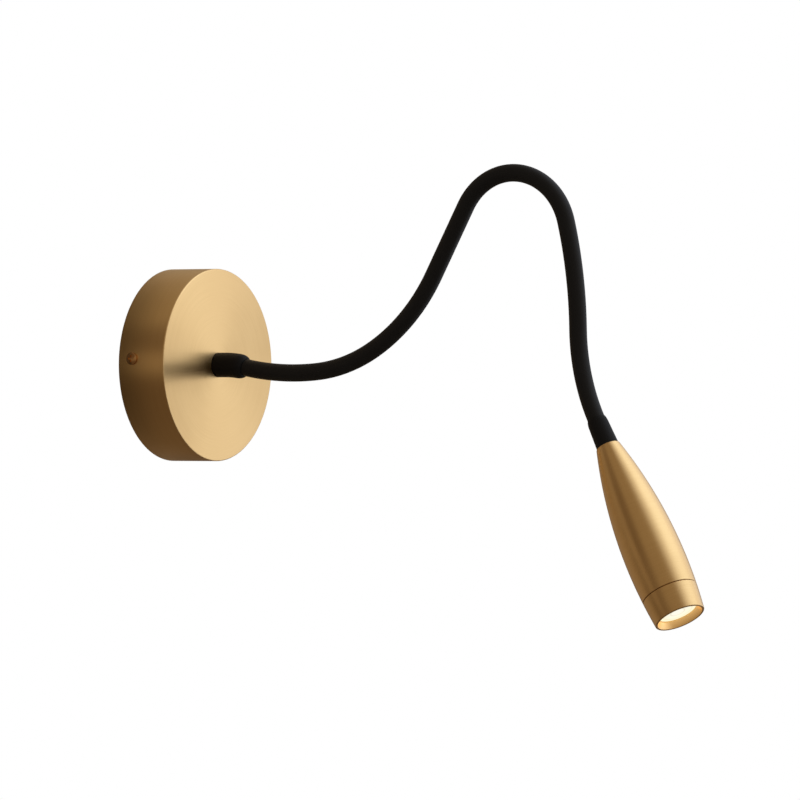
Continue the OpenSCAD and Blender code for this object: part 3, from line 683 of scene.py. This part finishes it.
def make_lit_lens():
    """A clear lens that glows warm white, with the faint rings of its optics."""
    material, tree, shader = new_material("lit_lens")
    link = tree.links.new
    flat = add_node(tree, "ShaderNodeVectorMath", operation="MULTIPLY")
    flat.inputs[1].default_value = (1, 1, 0)
    link(own_axes(tree, head_place), flat.inputs[0])
    size = add_node(tree, "ShaderNodeVectorMath", operation="LENGTH")
    link(flat.outputs[0], size.inputs[0])
    ramp = add_node(tree, "ShaderNodeValToRGB")
    spread = add_node(tree, "ShaderNodeMath", operation="DIVIDE")
    spread.inputs[1].default_value = lens_r * MM
    link(size.outputs["Value"], spread.inputs[0])
    link(spread.outputs[0], ramp.inputs["Fac"])
    stops = ramp.color_ramp.elements
    stops[0].position, stops[0].color = 0.0, (0.96, 0.93, 0.80, 1)
    stops[1].position, stops[1].color = 1.0, (0.80, 0.66, 0.38, 1)
    for position, colour in lens_glow:
        stops.new(position).color = colour
    link(ramp.outputs["Color"], shader.inputs["Emission Color"])
    shader.inputs["Base Color"].default_value = (0.05, 0.048, 0.042, 1)
    shader.inputs["Emission Strength"].default_value = 1.0
    shader.inputs["Roughness"].default_value = 0.12
    return material


lens_outline = in_metres(
    [(0.0, lens_back), (lens_back_r, lens_back), (gather_r, flange_back), (flange_r, flange_back),
     (flange_r, lens_front - lip), (lens_r - lens_play, lens_front - lip),
     (lens_r - lens_play, lens_front - 0.75), (lens_r - 0.3, lens_front - lens_step)]
    + [(lens_r * t, lens_front - lens_step + lens_dome * (1 - t * t)) for t in (0.85, 0.6, 0.35, 0.0)])
lens_form = turn_outline(lens_outline, closed=False, steps=96)
lens = finish_piece("lens_body", lens_form, head_place, make_lit_lens(), ["lens"],
                    smooth_deg=30)
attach(lens, "head")

# What the head holds
# The ferrule and its nut, the turned heat sink, the LED board with its chip, the lens holder and the
# lead that runs down to the board. All are closed in by the shell.
dress_node("head_ferrule", zinc)
dress_node("head_nut", zinc)
dress_node("heat_sink", make_plain_metal("turned_aluminium", (0.78, 0.79, 0.80, 1), 0.32, 500.0))
dress_node("led_board", make_moulded("led_board_white", (0.86, 0.86, 0.84, 1), 0.35))
dress_node("lens_holder", make_moulded("holder_plastic", (0.03, 0.03, 0.03, 1), 0.5, speck=0.01))
chip_yellow = make_moulded("chip_phosphor", (0.92, 0.74, 0.22, 1), 0.4, 3000.0)
chip_shader = chip_yellow.node_tree.nodes["Principled BSDF"]
chip_shader.inputs["Emission Color"].default_value = (1.0, 0.85, 0.6, 1)
chip_shader.inputs["Emission Strength"].default_value = 1.0
dress_node("led_chip", chip_yellow)
sink_front = 79.2
head_flex_rings = [(neck_place(neck_last + (ferrule_outside + sink_front) * t), lead_r)
                   for t in (0, 0.25, 0.5, 0.75, 1)]
head_flex = finish_piece("head_flex", join_rings(head_flex_rings, lead_sides), Matrix(), lead_grey,
                         ["head_lead"], smooth_deg=50)
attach(head_flex, "head")

# The studio
# A pale floor well under the lamp, a white background, two soft lights, and a tent that only
# reflections see: bright on the right, and dim elsewhere, as the brass in the photograph shows.
lamp_middle = Vector((0, -0.14, 0))
floor_drop = 0.42
floor_r = 2.4
floor_lift = 0.28


def add_stand(name, form, material):
    """Makes a piece of the studio from its form."""
    mesh = bpy.data.meshes.new(name)
    form.to_mesh(mesh)
    form.free()
    mesh.materials.append(material)
    stand = bpy.data.objects.new(name, mesh)
    scene.collection.objects.link(stand)
    return stand


def make_floor():
    """Pale and matt, a little lifted for the camera, and clear where it is seen from below."""
    material, tree, shader = new_material("pale_floor")
    shader.inputs["Base Color"].default_value = (0.88, 0.88, 0.87, 1)
    shader.inputs["Roughness"].default_value = 0.9
    shader.inputs["Emission Color"].default_value = (1, 1, 1, 1)
    lift = add_node(tree, "ShaderNodeMath", operation="MULTIPLY")
    lift.inputs[1].default_value = floor_lift
    tree.links.new(add_node(tree, "ShaderNodeLightPath").outputs["Is Camera Ray"], lift.inputs[0])
    tree.links.new(lift.outputs[0], shader.inputs["Emission Strength"])
    mixed = add_node(tree, "ShaderNodeMixShader")
    tree.links.new(add_node(tree, "ShaderNodeNewGeometry").outputs["Backfacing"], mixed.inputs["Fac"])
    tree.links.new(shader.outputs[0], mixed.inputs[1])
    tree.links.new(add_node(tree, "ShaderNodeBsdfTransparent").outputs[0], mixed.inputs[2])
    tree.links.new(mixed.outputs[0], tree.nodes["Material Output"].inputs["Surface"])
    return material


floor_form = bmesh.new()
bmesh.ops.create_circle(floor_form, cap_ends=True, segments=96, radius=floor_r,
                        matrix=Matrix.Translation(lamp_middle - Vector((0, 0, floor_drop))))
floor = add_stand("floor", floor_form, make_floor())
floor.visible_glossy = False

# The background is white for the camera, in reflections and through glass, and lights the lamp dimly.
surround_light = 0.35
world = bpy.data.worlds.new("studio")
scene.world = world
world.use_nodes = True
world_tree = world.node_tree
dim = world_tree.nodes["Background"]
dim.inputs["Color"].default_value = (1, 1, 1, 1)
dim.inputs["Strength"].default_value = surround_light
white = add_node(world_tree, "ShaderNodeBackground")
white.inputs["Color"].default_value = (1, 1, 1, 1)
white.inputs["Strength"].default_value = 1.0
rays = add_node(world_tree, "ShaderNodeLightPath")
seen = rays.outputs["Is Camera Ray"]
for ray in ("Is Glossy Ray", "Is Transmission Ray"):
    either = add_node(world_tree, "ShaderNodeMath", operation="MAXIMUM")
    world_tree.links.new(seen, either.inputs[0])
    world_tree.links.new(rays.outputs[ray], either.inputs[1])
    seen = either.outputs[0]
backdrop = add_node(world_tree, "ShaderNodeMixShader")
world_tree.links.new(seen, backdrop.inputs["Fac"])
world_tree.links.new(dim.outputs[0], backdrop.inputs[1])
world_tree.links.new(white.outputs[0], backdrop.inputs[2])
world_tree.links.new(backdrop.outputs[0], world_tree.nodes["World Output"].inputs["Surface"])

# Each panel of the tent is its direction as (right, towards the camera, up), the angles from there
# where it is full and where it ends, in degrees, and its colour.
tent_r = 1.5
tent_top = ((0, 0, 1), 80, 112, (0.295, 0.238, 0.175))
tent_panels = [((0.80, -0.16, 0.58), 20, 67, (1.05, 1.12, 1.27)),
               ((0.72, -0.05, 0.66), 10, 30, (1.30, 1.48, 1.80)),
               ((0.88, -0.40, -0.28), 12, 35, (0.96, 1.03, 1.17)),
               ((-0.75, -0.62, -0.10), 20, 52, (0.30, 0.235, 0.17)),
               ((-0.80, 0.47, 0.38), 9, 27, (0.13, 0.09, 0.06)),
               ((-0.93, 0.36, 0.05), 4, 15, (0.33, 0.26, 0.19))]
tent_bottom = (0.122, 0.086, 0.057)


def bare_material(name):
    """A material whose node tree is still empty."""
    material = bpy.data.materials.new(name)
    material.use_nodes = True
    material.node_tree.nodes.clear()
    return material, material.node_tree, material.node_tree.links.new


def make_tent():
    """Dim and warm all round, darker below, with a few soft panels."""
    material, tree, link = bare_material("studio_tent")
    coords = add_node(tree, "ShaderNodeTexCoord")
    centred = add_node(tree, "ShaderNodeVectorMath", operation="SUBTRACT")
    centred.inputs[1].default_value = lamp_middle
    link(coords.outputs["Object"], centred.inputs[0])
    outward = add_node(tree, "ShaderNodeVectorMath", operation="NORMALIZE")
    link(centred.outputs[0], outward.inputs[0])
    look = None
    for (right, towards, up), full, ends, colour in [tent_top] + tent_panels:
        facing = add_node(tree, "ShaderNodeVectorMath", operation="DOT_PRODUCT")
        facing.inputs[1].default_value = (image_right * right + towards_camera * towards
                                          + Vector((0, 0, up))).normalized()
        link(outward.outputs[0], facing.inputs[0])
        share = add_node(tree, "ShaderNodeMapRange", interpolation_type="SMOOTHSTEP")
        share.inputs["From Min"].default_value = math.cos(math.radians(ends))
        share.inputs["From Max"].default_value = math.cos(math.radians(full))
        link(facing.outputs["Value"], share.inputs["Value"])
        mixed = add_node(tree, "ShaderNodeMix", data_type="RGBA")
        mixed.inputs["A"].default_value = (*tent_bottom, 1)
        mixed.inputs["B"].default_value = (*colour, 1)
        link(share.outputs[0], mixed.inputs["Factor"])
        if look:
            link(look, mixed.inputs["A"])
        look = mixed.outputs["Result"]
    glow = add_node(tree, "ShaderNodeEmission")
    glow.inputs["Strength"].default_value = 1.0
    link(look, glow.inputs["Color"])
    link(glow.outputs[0], add_node(tree, "ShaderNodeOutputMaterial").inputs["Surface"])
    return material


def seen_by_reflections_only(stand):
    stand.visible_camera = False
    stand.visible_diffuse = False
    stand.visible_shadow = False
    stand.visible_transmission = False
    stand.visible_volume_scatter = False


tent_form = bmesh.new()
bmesh.ops.create_icosphere(tent_form, subdivisions=4, radius=tent_r,
                           matrix=Matrix.Translation(lamp_middle))
bmesh.ops.reverse_faces(tent_form, faces=tent_form.faces[:])
seen_by_reflections_only(add_stand("tent", tent_form, make_tent()))

# The shade on the wall close round the canopy, which only reflections see. It grows with the
# distance left or right of the middle, where a little of it is left, up to side_full.
shade_inner = 50.5 * MM
shade_outer = 92 * MM
shade_behind = 5 * MM
shade_most = 0.85
side_clear = -12 * MM
side_full = 68 * MM


def make_wall_shade():
    """Dark at the canopy's edge, fading to clear outwards, and above and below it."""
    material, tree, link = bare_material("wall_shade")
    coords = add_node(tree, "ShaderNodeTexCoord")
    flat = add_node(tree, "ShaderNodeVectorMath", operation="MULTIPLY")
    flat.inputs[1].default_value = (1, 0, 1)
    link(coords.outputs["Object"], flat.inputs[0])
    size = add_node(tree, "ShaderNodeVectorMath", operation="LENGTH")
    link(flat.outputs[0], size.inputs[0])
    fade = add_node(tree, "ShaderNodeMapRange", interpolation_type="SMOOTHSTEP")
    fade.inputs["From Min"].default_value = shade_inner
    fade.inputs["From Max"].default_value = shade_outer
    fade.inputs["To Min"].default_value = shade_most
    fade.inputs["To Max"].default_value = 0.0
    link(size.outputs["Value"], fade.inputs["Value"])
    split = add_node(tree, "ShaderNodeSeparateXYZ")
    link(coords.outputs["Object"], split.inputs[0])
    aside = add_node(tree, "ShaderNodeMath", operation="ABSOLUTE")
    link(split.outputs["X"], aside.inputs[0])
    sides = add_node(tree, "ShaderNodeMapRange", interpolation_type="SMOOTHSTEP")
    sides.inputs["From Min"].default_value = side_clear
    sides.inputs["From Max"].default_value = side_full
    link(aside.outputs[0], sides.inputs["Value"])
    share = add_node(tree, "ShaderNodeMath", operation="MULTIPLY")
    link(fade.outputs[0], share.inputs[0])
    link(sides.outputs[0], share.inputs[1])
    dark = add_node(tree, "ShaderNodeEmission")
    dark.inputs["Color"].default_value = (0, 0, 0, 1)
    mixed = add_node(tree, "ShaderNodeMixShader")
    link(share.outputs[0], mixed.inputs["Fac"])
    link(add_node(tree, "ShaderNodeBsdfTransparent").outputs[0], mixed.inputs[1])
    link(dark.outputs[0], mixed.inputs[2])
    link(mixed.outputs[0], add_node(tree, "ShaderNodeOutputMaterial").inputs["Surface"])
    return material


shade_form = turn_outline([(shade_inner, -shade_behind), (shade_outer, -shade_behind)],
                          closed=False, steps=64)
shade_form.transform(wall_frame)
seen_by_reflections_only(add_stand("wall_shade", shade_form, make_wall_shade()))


def add_soft_light(name, direction, distance, size, power):
    """A square soft light that faces the lamp and shows in no reflection."""
    data = bpy.data.lights.new(name, "AREA")
    data.size = size
    data.energy = power
    light = bpy.data.objects.new(name, data)
    light.location = lamp_middle + direction.normalized() * distance
    light.rotation_euler = (-direction).to_track_quat("-Z", "Y").to_euler()
    light.visible_glossy = False
    scene.collection.objects.link(light)


add_soft_light("key", image_right + towards_camera * 0.6 + Vector((0, 0, 0.6)),
               distance=1.6, size=0.9, power=14)
add_soft_light("fill", -image_right + towards_camera * 0.8 + Vector((0, 0, 0.3)),
               distance=2.0, size=1.2, power=9)
scene.view_settings.view_transform = "Standard"
